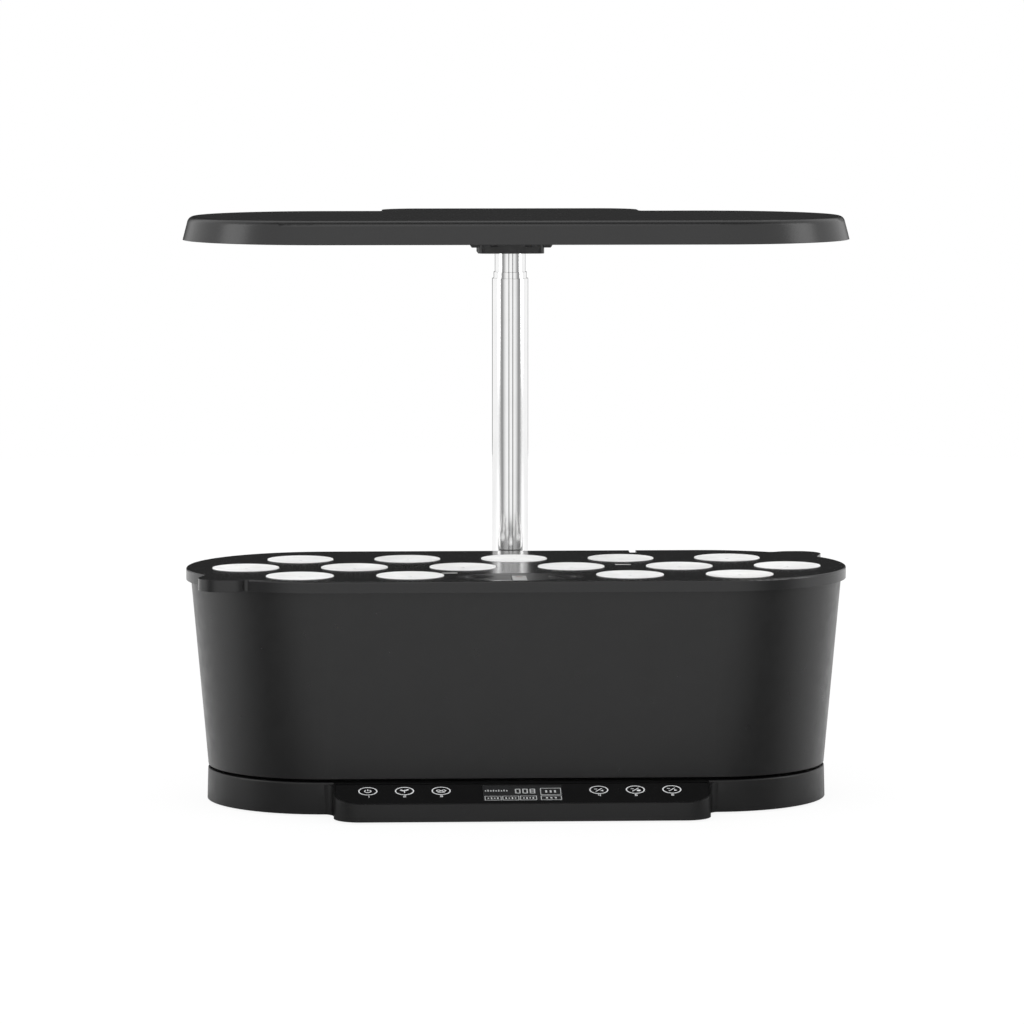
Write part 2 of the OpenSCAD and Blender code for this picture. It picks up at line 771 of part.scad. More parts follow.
module diffuser() color([0.93, 0.94, 0.95, 0.5]) {
    translate([0, 0, lamp_z + 0.4]) linear_extrude(cover_plate_t - 0.4) stadium(light_r - lamp_slip);
    translate([0, 0, lamp_z + cover_plate_t]) linear_extrude(diffuser_t) stadium(light_r + diffuser_lap);
}

module led_board() color([0.93, 0.93, 0.93])
    translate([0, 0, board_z]) linear_extrude(board_t) stadium(board_r);

module leds() color([0.95, 0.9, 0.6])
    for (i = [0 : led_columns - 1], j = [0 : led_rows - 1])
        translate([(i - (led_columns - 1) / 2) * led_pitch_x, (j - (led_rows - 1) / 2) * led_pitch_y,
                   board_z - led_t])
            if (led_fits((i - (led_columns - 1) / 2) * led_pitch_x, (j - (led_rows - 1) / 2) * led_pitch_y))
                translate([-led_size / 2, -led_size / 2, 0]) cube([led_size, led_size, led_t]);

// true when an LED lies inside the round end of the light window
function led_fits(x, y) = norm([max(0, abs(x) - end_spacing / 2), y]) < light_r - 5;

module driver_board() color([0.08, 0.26, 0.14])
    translate([block_w / 2 + 2.9, mast_y - 11, lamp_z + cover_plate_t]) {
    holes_x = [driver_hole_in, driver_w - driver_hole_in];
    holes_y = [driver_hole_in, driver_d - driver_hole_in];
    difference() {
        translate([0, 0, standoff_h]) cube([driver_w, driver_d, board_t]);
        for (x = holes_x, y = holes_y) translate([x, y, 0]) cylinder(h = 20, r = 1.2);
    }
    for (x = holes_x, y = holes_y) translate([x, y, 0]) difference() {
        cylinder(h = standoff_h, r = 2.4);
        translate([0, 0, -eps]) cylinder(h = standoff_h + 1, r = 1.2);
    }
    translate([8, 7, standoff_h + board_t - eps]) cube([12, 12, 4]);
    translate([26, 15, standoff_h + board_t - eps]) cylinder(h = 5, r = 4);
}

module lamp_screws() color([0.25, 0.25, 0.26])
    for (p = lamp_screws_at) translate([p[0], p[1], lamp_z + 0.3]) {
        difference() {
            cylinder(h = screw_head_h - 0.7, r = screw_head_r);
            for (a = [0, 90]) rotate([0, 0, a]) cube([3.2, 0.8, 0.8], center = true);
        }
        cylinder(h = 7.5, r = screw_r);
    }

module bracket_screw_places() {
    for (x = side, y = side) translate([x * bracket_screw_x, mast_y + y * bracket_screw_y, 0]) children();
}

module lamp_bracket() color([0.05, 0.05, 0.055]) difference() {
    union() {
        translate([0, mast_y, block_z]) linear_extrude(block_drop) {
            for (x = side, y = side)
                translate([x * (block_w / 2 - block_corner), y * (block_d / 2 - block_corner)]) circle(block_corner);
            square([block_w - 2 * block_corner, block_d], center = true);
            square([block_w, block_d - 2 * block_corner], center = true);
        }
        translate([0, mast_y + block_d / 2 - 3, lamp_z]) rotate([90, 0, 0]) linear_extrude(block_d - 6)
            polygon([[-flange_w / 2, 0], [flange_w / 2, 0], [flange_w / 2, flange_chamfer[1] - flange_drop],
                     [flange_w / 2 - flange_chamfer[0], -flange_drop],
                     [flange_chamfer[0] - flange_w / 2, -flange_drop],
                     [-flange_w / 2, flange_chamfer[1] - flange_drop]]);
    }
    translate([0, mast_y, block_z - 1]) cylinder(h = block_drop + 2, r = inner_r);
    bracket_screw_places() translate([0, 0, lamp_z - 8]) cylinder(h = 9, r = screw_r);
    // two small relief slots at the front of the flange
    for (s = side) translate([s * relief_x - relief_w / 2, mast_y - block_d / 2 - 1, block_z + relief_rise])
        cube([relief_w, 2.4, 1.2]);
}

module bracket_screws() color([0.6, 0.6, 0.62]) bracket_screw_places() {
    translate([0, 0, lamp_z - 7]) cylinder(h = 7 + cover_plate_t, r = screw_r);
    translate([0, 0, lamp_z + cover_plate_t]) cylinder(h = 2, r = screw_head_r);
}

// ---- tank ----

module tank() color([0.05, 0.05, 0.055]) difference() {
    union() {
        translate([0, 0, tank_z]) carried_round() difference() {
            polygon([[0, 0], [tank_low_r, 0], [tank_top_r, tank_h], [0, tank_h]]);
            polygon([[0, tank_wall], [tank_low_r - tank_wall + 0.2, tank_wall],
                     [tank_top_r - tank_wall, tank_h + 1], [0, tank_h + 1]]);
        }
        // plinth that rests on the base
        translate([0, 0, base_top]) linear_extrude(seat_gap + 0.5) stadium(tank_low_r - plinth_in);
    }
    // grooves for the base's rails, open to the back
    for (s = side) translate([s * rail_x - rail_w / 2 - 0.4, -rail_l / 2 - 0.5, base_top - 1])
        cube([rail_w + 0.8, 200, rail_h + 1.3]);
    // way out for the pump's lead
    translate([notch_x - notch_w / 2, notch_y, tank_top - 4]) cube([notch_w, 20, 5]);
}

module pump_body() color([0.06, 0.06, 0.065]) difference() {
    translate([face_x, pump_y - pump_w / 2, pump_z]) cube([pump_l, pump_w, pump_h]);
    // impeller chamber and rotor bore
    translate([face_x - 1, pump_y, spin_z]) rotate([0, 90, 0]) {
        cylinder(h = chamber_l + 1, r = chamber_r);
        cylinder(h = chamber_l + rotor_l + 2, r = rotor_r + 0.6);
        cylinder(h = chamber_l + rotor_l + 8, r = pin_r);
    }
    for (x = side, y = side) translate([pump_x + x * 14, pump_y + y * 12, pump_z - 1]) cylinder(h = 3, r = 2);
    translate([face_x + pump_l - 6, pump_y, spin_z + 5]) rotate([0, 90, 0]) cylinder(h = 8, r = 3);
}

module pump_cover() color([0.08, 0.08, 0.085]) difference() {
    union() {
        translate([face_x - 9, pump_y - pump_w / 2, pump_z]) cube([9, pump_w, pump_h]);
        translate([face_x - 4.5, pump_y + 9, pump_z + pump_h - 1]) cylinder(h = 9, r = 3.8);
    }
    // volute and outlet
    translate([face_x - 3, pump_y, spin_z]) rotate([0, 90, 0]) cylinder(h = 4, r = chamber_r);
    translate([face_x - 4.5, pump_y + 9, spin_z]) cylinder(h = 40, r = 2.6);
    translate([face_x - 5.5, pump_y, spin_z]) rotate([0, 90, 0]) cylinder(h = 3, r = 5);
    // pocket of the intake sponge and the grille in front of it
    translate([face_x - 8, pump_y - 15, pump_z + 3]) cube([3, 22, pump_h - 6]);
    for (k = [0 : 4]) translate([face_x - 10, pump_y - 13 + k * 4.4, pump_z + 5]) cube([3, 2, pump_h - 10]);
}

module pump_filter() color([0.12, 0.12, 0.12])
    translate([face_x - 8, pump_y - 14.8, pump_z + 3.2]) cube([2.4, 21.6, pump_h - 6.4]);

module impeller() color([0.85, 0.85, 0.85]) translate([face_x, pump_y, spin_z]) rotate([0, 90, 0])
    difference() {
        union() {
            translate([0, 0, chamber_l]) cylinder(h = rotor_l, r = rotor_r);
            translate([0, 0, 0.6]) cylinder(h = chamber_l, r = 3.4);
            for (a = [0 : 60 : 300]) rotate([0, 0, a]) translate([2, -0.7, 0.6])
                cube([impeller_r - 2.4, 1.4, blade_l]);
        }
        translate([0, 0, -1]) cylinder(h = chamber_l + rotor_l + 2, r = pin_r + pin_fit);
    }

module impeller_shaft() color([0.95, 0.95, 0.93]) translate([face_x - 2, pump_y, spin_z])
    rotate([0, 90, 0]) cylinder(h = chamber_l + rotor_l + 8, r = pin_r);

module pump_cups() color([0.1, 0.1, 0.1])
    for (x = side, y = side) translate([pump_x + x * 14, pump_y + y * 12, tank_z + tank_wall]) rotate_extrude() {
        polygon([[0, 0.6], [4, 0.6], [5.4, 0], [6.2, 0], [4.6, 2], [2.6, cup_h], [0, cup_h]]);
        translate([0, cup_h - eps]) square([2, 2]);
    }

module pump_gland() color([0.05, 0.05, 0.05])
    translate([face_x + pump_l - 6, pump_y, spin_z + 5]) rotate([0, 90, 0]) {
        cylinder(h = 6, r = 3);
        translate([0, 0, 6]) cylinder(h = 8, r1 = 3.8, r2 = 2.4);
    }

// ---- deck ----

// oval of four arcs, drawn in from the port's outline by inset
module oval(inset) {
    r = port_end_r - inset;
    cx = port_w / 2 - port_end_r;
    half = port_d / 2;
    // radius of the long arcs, from their meeting the end arcs without a corner
    big = (cx * cx + half * half - port_end_r * port_end_r) / (2 * (half - port_end_r));
    meet = cx + port_end_r * cx / (big - port_end_r);
    meet_in = cx + r * cx / (big - port_end_r);
    translate([0, port_y]) {
        intersection() {
            square([2 * meet_in, port_d * 2], center = true);
            translate([0, half - big]) circle(big - inset);
            translate([0, big - half]) circle(big - inset);
        }
        for (s = side) translate([s * cx, 0]) circle(r);
    }
}

// finger tab at the front left of the rim: two round ends, a back that slants into the rim, and a
// hollow fillet of radius tab_fillet at the end that lies towards the middle
module tab_outline() {
    outer = [tab_round + tab_side - end_x - deck_r, tab_round + tab_front - deck_r];
    inner = outer + [tab_w - 2 * tab_round, 0];
    touch = outer + tab_round * [-cos(tab_slant), sin(tab_slant)];
    for (c = [outer, inner]) translate(c) circle(tab_round);
    polygon([outer - [0, tab_round], inner - [0, tab_round], inner + [0, tab_round + 10],
             touch + (tab_round + 10) * [sin(tab_slant), cos(tab_slant)], touch, outer]);
    // the fillet's centre is one fillet radius from the rim and from the round end
    far = norm([inner[0] + end_x, inner[1]]);
    reach = deck_r + tab_fillet;
    turn = acos((reach * reach + far * far - pow(tab_round + tab_fillet, 2)) / (2 * reach * far));
    heading = atan2(inner[1], inner[0] + end_x) + turn;
    middle = [reach * cos(heading) - end_x, reach * sin(heading)];
    difference() {
        polygon([inner, middle, middle - (tab_fillet + 1) * [cos(heading), sin(heading)]]);
        translate(middle) circle(tab_fillet);
    }
}

module deck() color([0.03, 0.03, 0.032]) difference() {
    union() {
        translate([0, 0, rim_z]) carried_round() {
            difference() {
                drafted_section(deck_r, deck_r, rim_h, edge_top);
                translate([-1, -1]) square([deck_r - rim_wall + 1, rim_h - deck_t + 1]);
            }
        }
        for (m = [0, 180]) rotate([0, 0, m]) translate([0, 0, rim_z]) linear_extrude(rim_h) difference() {
            tab_outline();
            stadium(deck_r - rim_wall);
        }
        // rib that locates the deck inside the tank
        translate([0, 0, tank_top - 4]) linear_extrude(4 + eps) difference() {
            stadium(rib_r);
            stadium(rib_r - rib_wall);
        }
        // collars under the pod holes
        for (p = pods_at) translate([p[0], p[1], seat_z - ledge_t]) {
            cylinder(h = deck_top - seat_z + ledge_t - 1, r = recess_r + collar_t);
            translate([0, 0, -collar_h]) cylinder(h = collar_h + eps, r = hole_r + collar_t);
        }
        // collar under the fill port
        translate([0, 0, deck_top - port_depth]) linear_extrude(port_depth - 1) intersection() {
            oval(-port_wall);
            stadium(rib_r);
        }
    }
    for (p = pods_at) translate([p[0], p[1], 0]) {
        translate([0, 0, seat_z]) cylinder(h = 9, r = recess_r);
        cylinder(h = 400, r = hole_r);
    }
    translate([0, 0, deck_top - cover_t]) linear_extrude(9) oval(0);
    linear_extrude(400) oval(port_ledge);
    for (p = plain_slots) translate([p[0], p[1], rim_z]) linear_extrude(rim_h + 1) slot_2d(slot_l, slot_w);
    for (p = lined_slots) translate([p[0], p[1], rim_z]) linear_extrude(rim_h + 1)
        slot_2d(slot_l, slot_w + 0.6);
    translate([notch_x - notch_w / 2, notch_y, rim_z - 1]) cube([notch_w, 40, rim_h + 2]);
}

// round finger scoop, thicker by wall where it is the cup and not the hollow
module scoop(wall) translate([0, 0, deck_top]) rotate_extrude() intersection() {
    translate([0, scoop_ball - scoop_depth]) circle(scoop_ball + wall);
    translate([0, -scoop_depth - wall]) square([scoop_r + wall, scoop_depth + wall + (wall > 0 ? -1 : 1)]);
}

module fill_cover() color([0.03, 0.03, 0.032]) difference() {
    union() {
        translate([0, 0, deck_top - cover_t]) linear_extrude(cover_t) oval(cover_slip);
        for (s = side) translate([s * scoop_x, port_y, 0]) scoop(scoop_wall);
        // boss that guides the float's pin
        translate([float_x, float_y, deck_top - port_depth]) cylinder(h = port_depth - cover_t + eps, d = float_pin_d + 4);
    }
    for (s = side) translate([s * scoop_x, port_y, 0]) scoop(0);
    translate([float_x - level_plate_w / 2 - fit_gap, plate_front - fit_gap, deck_top - plate_seat])
        cube([level_plate_w + 2 * fit_gap, level_plate_l + 2 * fit_gap, 9]);
    translate([float_x, float_y, deck_top - 20]) cylinder(h = 40, d = float_pin_d + 2 * slip);
}

module level_plate() color([0.85, 0.85, 0.85]) difference() {
    translate([float_x - level_plate_w / 2, plate_front, deck_top - plate_seat])
        cube([level_plate_w, level_plate_l, plate_seat + plate_proud]);
    translate([float_x, float_y, deck_top - 20]) cylinder(h = 40, d = float_pin_d + 2 * slip);
}

// cage that the float rises in, hung from the collar of the port
module float_guide() color([0.08, 0.08, 0.085]) intersection() {
    hang_z = deck_top - port_depth;
    foot_z = float_top - float_h - float_fall - 1.5;
    half = float_w / 2 + guide_slip;
    union() {
        for (s = side) translate([float_x + s * (half + guide_wall / 2) - guide_wall / 2, 0, 0]) {
            translate([0, port_y - port_d / 2 - port_wall, hang_z - 3]) cube([guide_wall, port_d + 2 * port_wall, 3]);
            translate([0, float_y - guide_d / 2, foot_z]) cube([guide_wall, guide_d, hang_z - foot_z]);
        }
        translate([float_x - half - guide_wall, float_y - guide_d / 2, foot_z - 2])
            cube([2 * (half + guide_wall), guide_d, 2.1]);
    }
    linear_extrude(deck_top) stadium(rib_r - 1);
}

module float_pin() color([0.75, 0.2, 0.15])
    translate([float_x, float_y, float_top]) cylinder(h = float_pin_l, d = float_pin_d);

module level_float() color([0.85, 0.86, 0.86])
    translate([float_x, float_y, float_top - float_h]) linear_extrude(float_h) slot_2d(float_w, float_d);

module slot_liners() color([0.92, 0.92, 0.92])
    for (p = lined_slots) translate([p[0], p[1], deck_top - 5]) linear_extrude(5.1) difference() {
        slot_2d(slot_l, slot_w + 0.6);
        slot_2d(slot_l - 2 * liner_t, slot_w + 0.6 - 2 * liner_t);
    }

// seed pod: lid, basket and sponge, three loose pieces
module pod(i) translate([pods_at[i - 1][0], pods_at[i - 1][1], deck_top + lid_proud]) {
    pod_lid();
    translate([0, 0, -lid_t - loose]) pod_basket();
    translate([0, 0, basket_floor - lid_t - basket_h]) pod_sponge();
}

// slightly dished, with a hole for the sprout and a short ring that centres it in the basket
module pod_lid() color([0.93, 0.93, 0.92]) rotate_extrude() difference() {
    ring_r = basket_high_r - basket_wall - slip;
    union() {
        translate([0, -lid_t]) square([lid_r, lid_t]);
        translate([0, -lid_t - lid_ring_h]) square([ring_r, lid_ring_h + bite]);
    }
    polygon([[-1, -lid_dish], [lid_hole_r, -lid_dish], [lid_r - lid_land, 0], [lid_r, 1], [-1, 1]]);
    translate([-1, -9]) square([lid_hole_r + 1, 10]);
    translate([-1, -9]) square([ring_r - lid_ring_wall + 1, 9 - lid_t]);
}

module pod_basket() color([0.06, 0.06, 0.065]) difference() {
    rotate_extrude() difference() {
        union() {
            translate([0, -basket_flange_t]) square([lid_r - basket_flange_in, basket_flange_t]);
            polygon([[0, -basket_h], [basket_low_r, -basket_h], [basket_high_r, -basket_flange_t / 2],
                     [0, -basket_flange_t / 2]]);
        }
        polygon([[-1, 1], [-1, basket_floor - basket_h], [basket_low_r - basket_wall, basket_floor - basket_h],
                 [basket_high_r - basket_wall, -4], [basket_high_r - basket_wall, 1]]);
    }
    for (a = [0, 90]) rotate([0, 0, a]) translate([-lid_r, -window_w / 2, window_low - basket_h])
        cube([lid_d, window_w, basket_h - window_low - window_high]);
    translate([0, 0, -basket_h - 1]) cylinder(h = basket_floor + 2, r = floor_hole_r);
}

module pod_sponge() color([0.25, 0.17, 0.1])
    cylinder(h = sponge_h, r1 = basket_low_r - basket_wall - sponge_gap,
             r2 = basket_low_r - basket_wall + sponge_flare);

base_shell();
base_plate();
feet();
base_screws();
panel_lens();
lcd_module();
key_board();
main_board();
dc_inlet();
pump_socket();
mast_socket();
mast_screws();
outer_tube();
middle_tube();
middle_guide();
inner_tube();
inner_guide();
lamp_bracket();
bracket_screws();
lamp_housing();
lamp_cover();
diffuser();
led_board();
leds();
driver_board();
lamp_screws();
tank();
pump_body();
pump_cover();
impeller();
impeller_shaft();
pump_filter();
pump_cups();
pump_gland();
deck();
fill_cover();
level_plate();
float_guide();
level_float();
float_pin();
slot_liners();
for (i = [1 : len(pods_at)]) pod(i);
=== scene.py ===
import math

import bmesh
import bpy
from mathutils import Matrix, Vector


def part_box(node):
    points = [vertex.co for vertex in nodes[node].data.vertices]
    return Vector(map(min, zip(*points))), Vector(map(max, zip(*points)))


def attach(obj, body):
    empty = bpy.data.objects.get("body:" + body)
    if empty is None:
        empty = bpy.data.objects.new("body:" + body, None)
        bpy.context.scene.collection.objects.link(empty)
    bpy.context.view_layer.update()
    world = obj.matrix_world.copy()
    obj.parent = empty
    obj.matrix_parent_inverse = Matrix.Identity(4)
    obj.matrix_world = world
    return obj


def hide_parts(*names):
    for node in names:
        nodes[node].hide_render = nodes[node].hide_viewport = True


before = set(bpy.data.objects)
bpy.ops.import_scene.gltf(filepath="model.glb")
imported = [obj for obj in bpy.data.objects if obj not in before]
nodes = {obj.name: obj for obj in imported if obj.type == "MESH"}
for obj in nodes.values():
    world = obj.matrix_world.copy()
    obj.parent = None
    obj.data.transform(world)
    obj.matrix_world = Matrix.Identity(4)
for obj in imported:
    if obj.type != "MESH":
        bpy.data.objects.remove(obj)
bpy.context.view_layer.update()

mm = 0.001


# ---------------------------------------------------------------- base casing
# The shell that everything stands on, with the panel's bulge in front and the mast's pad behind.
# It is injection-moulded black plastic with a fine satin grain. A coarser, paler bottom cover is
# screwed under it.
class Wire:
    """A node's output. Arithmetic on it adds Math nodes, and new() adds any other node."""

    def __init__(self, tree, socket):
        self.tree = tree
        self.socket = socket

    @staticmethod
    def new(tree, kind, settings, inputs, output=0):
        """Adds a node, sets it, and feeds its sockets with values or wires."""
        node = tree.nodes.new(kind)
        for key, value in settings.items():
            setattr(node, key, value)
        for key, value in inputs.items():
            if isinstance(value, Wire):
                tree.links.new(value.socket, node.inputs[key])
            else:
                node.inputs[key].default_value = value
        return Wire(tree, node.outputs[output]) if node.outputs else node

    def output(self, name):
        """Another output of the same node."""
        return Wire(self.tree, self.socket.node.outputs[name])

    def math(self, operation, first, second=0.0):
        return Wire.new(self.tree, "ShaderNodeMath", {"operation": operation}, {0: first, 1: second})

    def __add__(self, other):
        return self.math("ADD", self, other)

    def __sub__(self, other):
        return self.math("SUBTRACT", self, other)

    def __rsub__(self, other):
        return self.math("SUBTRACT", other, self)

    def __mul__(self, other):
        return self.math("MULTIPLY", self, other)

    def __truediv__(self, other):
        return self.math("DIVIDE", self, other)

    __radd__ = __add__
    __rmul__ = __mul__


def grey(level):
    return (level, level, level, 1)


def material(name):
    """A new material with an empty tree."""
    made = bpy.data.materials.new(name)
    made.use_nodes = True
    made.node_tree.nodes.clear()
    return made, made.node_tree


def finish_paint(tree, shader):
    Wire.new(tree, "ShaderNodeOutputMaterial", {}, {"Surface": shader})


def spread_over(value, start, end, low=0.0, high=1.0, how="LINEAR"):
    """Takes a value from low at start to high at end, and holds it beyond them."""
    return Wire.new(value.tree, "ShaderNodeMapRange", {"interpolation_type": how},
                    {"Value": value, "From Min": start, "From Max": end, "To Min": low, "To Max": high})


def mixed(tree, share, first, second):
    """A colour between two others."""
    return Wire.new(tree, "ShaderNodeMix", {"data_type": "RGBA"}, {0: share, 6: first, 7: second}, 2)


def varied(tree, scale, low, high, detail=4.0):
    """A soft noise between two values, in object coordinates, with scale in metres."""
    place = Wire.new(tree, "ShaderNodeTexCoord", {}, {}, "Object")
    noise = Wire.new(tree, "ShaderNodeTexNoise", {},
                     {"Vector": place, "Scale": 1 / scale, "Detail": detail})
    return spread_over(noise, 0.25, 0.75, low, high)


def plastic(name, colour, rough, spread=0.05, grain=0.4 * mm, depth=0.02 * mm, edge=0.4 * mm,
            specular=0.5, metal=0.0):
    """Moulded plastic: a colour that clouds a little, a fine grain, and softened edges."""
    made, tree = material(name)
    cloud_size, cloud_share, gloss_patch = 30 * mm, 0.12, 8 * mm
    dark = tuple(c * (1 - cloud_share) for c in colour) + (1,)
    light = tuple(min(1, c * (1 + cloud_share)) for c in colour) + (1,)
    paint = mixed(tree, varied(tree, cloud_size, 0.0, 1.0), dark, light)
    soft_edge = Wire.new(tree, "ShaderNodeBevel", {"samples": 4}, {"Radius": edge})
    bump = Wire.new(tree, "ShaderNodeBump", {}, {"Strength": 1.0, "Distance": depth, "Normal": soft_edge,
                                                 "Height": varied(tree, grain, 0.0, 1.0, 2.0)})
    finish_paint(tree, Wire.new(tree, "ShaderNodeBsdfPrincipled", {}, {
        "Base Color": paint, "Metallic": metal,
        "Roughness": varied(tree, gloss_patch, rough - spread, rough + spread),
        "Specular IOR Level": specular, "Normal": bump}))
    return made


def dress(paint, *names):
    """Gives CAD nodes their material."""
    for name in names:
        nodes[name].data.materials.clear()
        nodes[name].data.materials.append(paint)
        for face in nodes[name].data.polygons:
            face.material_index = 0


casing_black = plastic("casing_black", (0.0045, 0.0045, 0.0047), 0.36, specular=0.33)
dress(casing_black, "base_shell")
dress(plastic("underside_black", (0.024, 0.024, 0.025), 0.55, grain=0.7 * mm, depth=0.04 * mm), "base_plate")


# ---------------------------------------------------------------- feet and screws
# Eight pads of black rubber are pressed into recesses under the base, and four rubber cups hold
# the pump. The screws are zinc-plated steel with cross recesses.
rubber = plastic("rubber", (0.016, 0.016, 0.016), 0.75, grain=0.3 * mm, depth=0.03 * mm, specular=0.3)
dress(rubber, "feet", "pump_cups")
screw_steel = plastic("screw_steel", (0.56, 0.56, 0.55), 0.3, spread=0.08, grain=0.25 * mm, depth=0.004 * mm,
                      edge=0.15 * mm, metal=1.0)
dress(screw_steel, "base_screws", "mast_screws", "bracket_screws", "lamp_screws")


# ---------------------------------------------------------------- control panel
# A glossy black overlay is glued into a recess of the sloping bulge. Six touch keys are printed
# on it as rings with plain symbols, each over a plain number, in light grey.
panel_slope = math.radians(15.2)
key_ring_d = 12.2 * mm
ring_line = 0.75 * mm
print_t = 0.06 * mm
key_group_x = 73.8 * mm
key_pitch = 23.4 * mm
key_shift = 1.5 * mm
key_y = -90.6 * mm
number_y = -98.6 * mm
lens_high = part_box("panel_lens")[1]
gloss_overlay = plastic("gloss_overlay", (0.003, 0.003, 0.0032), 0.07, spread=0.02, grain=3 * mm,
                        depth=0.002 * mm)
dress(gloss_overlay, "panel_lens")


def on_panel(x, y):
    """The place on the overlay's face at x, y: origin there, X to the right, Y up the slope."""
    z = lens_high.z + (y - lens_high.y) * math.tan(panel_slope)
    return Matrix.Translation((x, y, z)) @ Matrix.Rotation(panel_slope, 4, "X")


def piece(name, bm, paint, body, smooth=True):
    """Makes a mesh from bm an object that rides on a body."""
    bmesh.ops.recalc_face_normals(bm, faces=bm.faces)
    mesh = bpy.data.meshes.new(name)
    bm.to_mesh(mesh)
    bm.free()
    if smooth:
        mesh.shade_smooth()
        mesh.set_sharp_from_angle(angle=math.radians(35))
    mesh.materials.append(paint)
    made = bpy.data.objects.new(name, mesh)
    bpy.context.scene.collection.objects.link(made)
    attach(made, body)
    return made


def bar(bm, place, x, y, length, width, turn=0.0):
    """A printed bar: a flat box on the face given by place."""
    shape = place @ Matrix.Translation((x, y, print_t / 2)) @ Matrix.Rotation(turn, 4, "Z") \
        @ Matrix.Diagonal((length, width, print_t, 1))
    bmesh.ops.create_cube(bm, size=1, matrix=shape)


def ring(bm, place, radius, line, start=0.0, sweep=2 * math.pi, steps=48, x=0.0, y=0.0):
    """A printed ring or arc, spun from a small rectangle."""
    corners = [bm.verts.new((radius + side * line / 2, 0, z))
               for side, z in ((-1, 0), (1, 0), (1, print_t), (-1, print_t))]
    face = bm.faces.new(corners)
    whole = sweep == 2 * math.pi
    bmesh.ops.rotate(bm, verts=corners, cent=(0, 0, 0), matrix=Matrix.Rotation(start, 3, "Z"))
    bmesh.ops.spin(bm, geom=[face] + list(face.edges) + corners, cent=(0, 0, 0), axis=(0, 0, 1),
                   angle=sweep, steps=steps, use_merge=whole)
    if whole:
        bm.faces.remove(face)
    fresh = [v for v in bm.verts if not v.tag]
    bmesh.ops.transform(bm, matrix=place @ Matrix.Translation((x, y, 0)), verts=fresh)
    printed(bm)


def printed(bm):
    """Tags what is printed so far, so that the next ring moves only itself."""
    for v in bm.verts:
        v.tag = True


def symbol(bm, place, kind):
    """A plain symbol inside a key's ring, drawn in millimetres for a ring of 12.2 mm."""
    u = key_ring_d / 12.2
    if kind == 1:      # on and off: an open ring and a bar
        ring(bm, place, 2.0 * u, 0.7 * u, start=math.radians(125), sweep=math.radians(290), steps=24)
        bar(bm, place, 0, 1.6 * u, 0.7 * u, 2.4 * u)
    elif kind == 2:    # two leaves on a stalk
        bar(bm, place, 0, -0.6 * u, 0.6 * u, 4.4 * u)
        bar(bm, place, -1.5 * u, 0.9 * u, 2.8 * u, 1.3 * u, math.radians(-38))
        bar(bm, place, 1.5 * u, 1.5 * u, 2.8 * u, 1.3 * u, math.radians(38))
    elif kind == 3:    # water: a ring and two ripples
        for side in (-1, 1):
            ring(bm, place, 1.2 * u, 0.7 * u, x=1.7 * u * side, y=0.2 * u, steps=24)
        bar(bm, place, 0, -2.3 * u, 4.6 * u, 0.6 * u)
    else:              # a slash between a bar and a dot or a triangle
        bar(bm, place, 0, 0, 6.4 * u, 0.6 * u, math.radians(50))
        bar(bm, place, -2.0 * u, 1.3 * u, 1.9 * u, 0.7 * u)
        corners, turn = {4: (3, 90), 5: (24, 0), 6: (3, -90)}[kind]
        mark = place @ Matrix.Translation((2.1 * u, -1.2 * u, print_t / 2)) \
            @ Matrix.Rotation(math.radians(turn), 4, "Z")
        bmesh.ops.create_cone(bm, cap_ends=True, segments=corners, radius1=1.3 * u, radius2=1.3 * u,
                              depth=print_t, matrix=mark)
    printed(bm)


# strokes of a seven-segment digit: 1 where it stands upright, then its middle in half widths across
# and in quarter heights up
STROKES = {"top": (0, 0, 2), "mid": (0, 0, 0), "low": (0, 0, -2), "ul": (1, -1, 1), "ur": (1, 1, 1),
           "ll": (1, -1, -1), "lr": (1, 1, -1)}
DIGITS = {"0": "top low ul ur ll lr", "1": "ur lr", "2": "top ur mid ll low", "3": "top ur mid lr low",
          "4": "ul ur mid lr", "5": "top ul mid lr low", "6": "top ul mid ll lr low",
          "8": "top mid low ul ur ll lr"}


def digit(bm, place, x, y, figure, width, height, line):
    """A plain digit of straight strokes."""
    for name in DIGITS[figure].split():
        upright, across, up = STROKES[name]
        length, thick = (line, height / 2 + line) if upright else (width + line, line)
        bar(bm, place, x + across * width / 2, y + up * height / 4, length, thick)


print_white = plastic("print_white", (0.80, 0.81, 0.82), 0.45, grain=0.5 * mm, depth=0.001 * mm,
                      edge=0.02 * mm)
key_xs = [side * key_group_x + k * key_pitch - key_shift for side in (-1, 1) for k in (-1, 0, 1)]
for number, x in enumerate(key_xs, 1):
    bm = bmesh.new()
    place = on_panel(x, key_y)
    ring(bm, place, (key_ring_d - ring_line) / 2, ring_line)
    symbol(bm, place, number)
    digit(bm, on_panel(x, number_y), 0, 0, str(number), 1.3 * mm, 2.2 * mm, 0.45 * mm)
    piece(f"key_print_{number}", bm, print_white, "base", smooth=False)


# ---------------------------------------------------------------- display
# A dark grey segment display behind the overlay's window. It shows three large digits, a row of
# small marks and framed fields of marks, in pale grey segments.
lcd_sink = 0.1 * mm
lcd_centre = -94.2 * mm
display_grey = plastic("display_grey", (0.020, 0.0205, 0.021), 0.22, spread=0.03, grain=2 * mm,
                       depth=0.001 * mm)
dress(display_grey, "lcd_module")
segment_grey = plastic("segment_grey", (0.50, 0.51, 0.51), 0.4, grain=0.5 * mm, depth=0.001 * mm,
                       edge=0.02 * mm)
lcd_face = on_panel(0, lcd_centre) @ Matrix.Translation((0, 0, -lcd_sink))


def frame_of_bars(bm, place, left, right, low, high, line):
    """A printed frame of four bars."""
    for y in (low, high):
        bar(bm, place, (left + right) / 2, y, right - left + line, line)
    for x in (left, right):
        bar(bm, place, x, (low + high) / 2, line, high - low - line)


